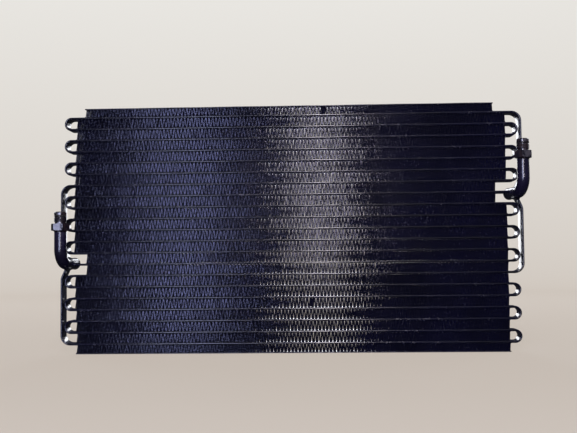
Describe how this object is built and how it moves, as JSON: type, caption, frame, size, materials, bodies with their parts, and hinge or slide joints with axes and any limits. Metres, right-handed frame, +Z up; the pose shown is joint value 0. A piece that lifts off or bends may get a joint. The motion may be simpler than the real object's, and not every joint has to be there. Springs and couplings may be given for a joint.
{
  "type": "air conditioning condenser",
  "caption": "Flat serpentine-tube heat exchanger core with corrugated louvred fins and an upturned screw-ended pipe at each side.",
  "frame": {"origin": "on the bottom plate's underside, midway between the return bends of the two sides and between front and back", "axes": "+X along the flat tubes towards the inlet side, +Y through the core from front to back, +Z up"},
  "size_m": [0.6445, 0.0634, 0.3366],
  "materials": {
    "tube_paint": "gloss black enamel with a blue violet cast over extruded aluminium",
    "fin_paint": "thin black enamel with a navy cast over folded aluminium sheet",
    "plate_paint": "gloss black enamel over aluminium sheet",
    "pipe_paint": "gloss black enamel over drawn aluminium pipe",
    "fitting_paint": "black enamel over machined aluminium, worn at the edges of the hexagon",
    "seal_rubber": "matt black moulded rubber"
  },
  "bodies": {
    "root": {"circuit_upper": "tube_paint", "circuit_middle": "tube_paint", "circuit_lower": "tube_paint", "fin_01": "fin_paint", "fin_02": "fin_paint", "fin_03": "fin_paint", "fin_04": "fin_paint", "fin_05": "fin_paint", "fin_06": "fin_paint", "fin_07": "fin_paint", "fin_08": "fin_paint", "fin_09": "fin_paint", "fin_10": "fin_paint", "fin_11": "fin_paint", "fin_12": "fin_paint", "fin_13": "fin_paint", "fin_14": "fin_paint", "fin_15": "fin_paint", "fin_16": "fin_paint", "fin_17": "fin_paint", "fin_18": "fin_paint", "fin_19": "fin_paint", "fin_20": "fin_paint", "fin_21": "fin_paint", "fin_22": "fin_paint", "top_plate": "plate_paint", "bottom_plate": "plate_paint", "inlet_pipe": "pipe_paint", "outlet_pipe": "pipe_paint", "inlet_end_cap": "pipe_paint", "outlet_end_cap": "pipe_paint", "inlet_fitting": "fitting_paint", "outlet_fitting": "fitting_paint", "o_rings": "seal_rubber"}
  },
  "joints": []
}
